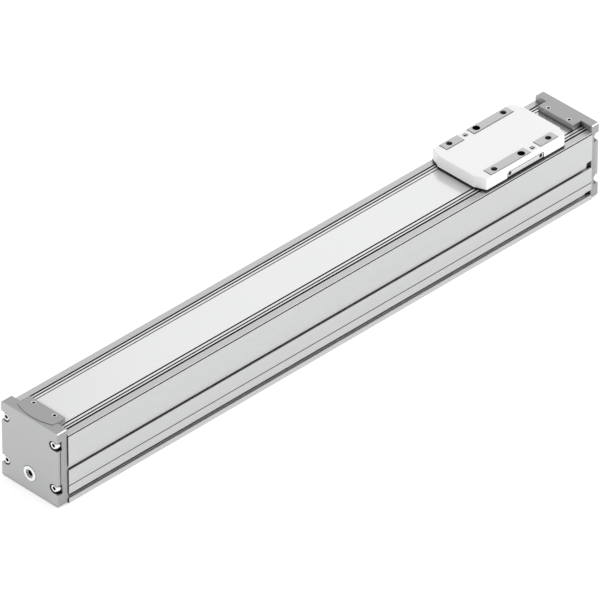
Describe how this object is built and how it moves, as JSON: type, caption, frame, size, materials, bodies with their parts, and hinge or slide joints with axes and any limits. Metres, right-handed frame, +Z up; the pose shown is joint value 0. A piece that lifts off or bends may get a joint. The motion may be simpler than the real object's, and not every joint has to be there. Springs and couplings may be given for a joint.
{
  "type": "electric linear axis",
  "caption": "Ball-screw linear axis: slotted extruded body, end caps, flat steel cover strip and a white-covered slide that runs along the top.",
  "frame": {"origin": "centre of the body's flat mounting underside", "axes": "+X along the axis towards the drive end, +Y across it, +Z up out of the slide's table; the slide rests at the drive end of its stroke"},
  "size_m": [0.5762, 0.06, 0.0721],
  "materials": {
    "anodised_body": "fine matt clear anodising on a drawn profile",
    "anodised_cap": "matt clear anodising on milled and cast blocks",
    "anodised_carrier": "matt clear anodising",
    "strip_steel": "satin cold-rolled stainless strip",
    "table_metal": "milled and clear anodised",
    "machined_block": "milled and clear anodised",
    "white_cover": "fine matt moulded white",
    "ground_steel": "ground and lightly oiled",
    "bearing_steel": "ground bearing steel",
    "zinc_screw": "bright zinc",
    "dark_plug": "bright zinc flange with a dark socket",
    "seal_plastic": "moulded black",
    "buffer_rubber": "moulded black",
    "magnet": "nickel plated"
  },
  "bodies": {
    "frame": {"profile": "anodised_body", "strip_carrier": "anodised_carrier", "cover_strip": "strip_steel", "drive_end_cap": "anodised_cap", "idle_end_cap": "anodised_cap", "drive_cap_screws": "zinc_screw", "idle_cap_screws": "zinc_screw", "drive_tongue_screws": "zinc_screw", "idle_tongue_screws": "zinc_screw", "vent_plug": "dark_plug", "guide_rail": "ground_steel", "rail_screws": "zinc_screw", "drive_bearing_outer_rings": "bearing_steel", "idle_bearing_outer_ring": "bearing_steel", "bearing_clamp_ring": "machined_block", "end_buffers": "buffer_rubber"},
    "spindle": {"ball_screw": "ground_steel", "drive_bearing_inner_rings": "bearing_steel", "idle_bearing_inner_ring": "bearing_steel", "bearing_lock_nut": "ground_steel", "idle_retaining_ring": "ground_steel"},
    "slide": {"guide_carriages": "ground_steel", "carriage_end_seals": "seal_plastic", "carriage_screws": "zinc_screw", "nut_housing": "machined_block", "ball_nut": "ground_steel", "nut_screws": "zinc_screw", "sensor_magnets": "magnet", "slide_yoke": "ground_steel", "yoke_screws": "zinc_screw", "slide_table": "table_metal", "table_screws": "zinc_screw", "slide_cover": "white_cover", "slide_cover_screws": "zinc_screw", "side_plates": "table_metal", "side_plate_screws": "zinc_screw"}
  },
  "joints": [
    {"name": "slide_travel", "type": "slide", "parent": "frame", "child": "slide", "axis": [-1, 0, 0], "range_m": [0, 0.4]},
    {"name": "spindle_turn", "type": "hinge", "parent": "frame", "child": "spindle", "pos_m": [0, 0, 0.03975], "axis": [1, 0, 0], "range_deg": [0, 12000]}
  ],
  "couplings": [
    {"joint": "spindle_turn", "follows": "slide_travel", "rad_per_m": 523.6}
  ]
}
